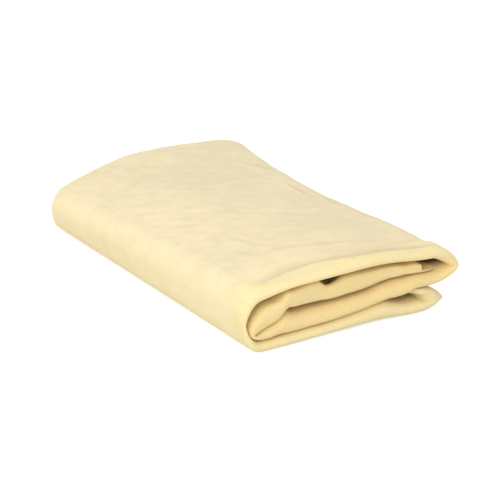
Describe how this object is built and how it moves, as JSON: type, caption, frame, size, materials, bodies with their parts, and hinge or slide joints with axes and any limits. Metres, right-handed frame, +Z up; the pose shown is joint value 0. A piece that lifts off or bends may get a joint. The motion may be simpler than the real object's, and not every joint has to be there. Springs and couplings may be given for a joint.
{
  "type": "chamois leather",
  "caption": "Soft suede drying leather, doubled and rolled flat into a thick rectangular stack, with round rims at one end and cut edges at the other.",
  "frame": {"origin": "middle of the folded stack's footprint, on the surface it lies on", "axes": "+Y along the stack from the doubled rims to the cut edges, +X across it towards the turned-back end, +Z up"},
  "size_m": [0.1666, 0.2682, 0.0428],
  "materials": {
    "chamois_suede": "pale cream-yellow chamois suede, oil tanned, with a short soft nap and no shine"
  },
  "bodies": {
    "root": {"chamois_leather": "chamois_suede"}
  },
  "joints": []
}
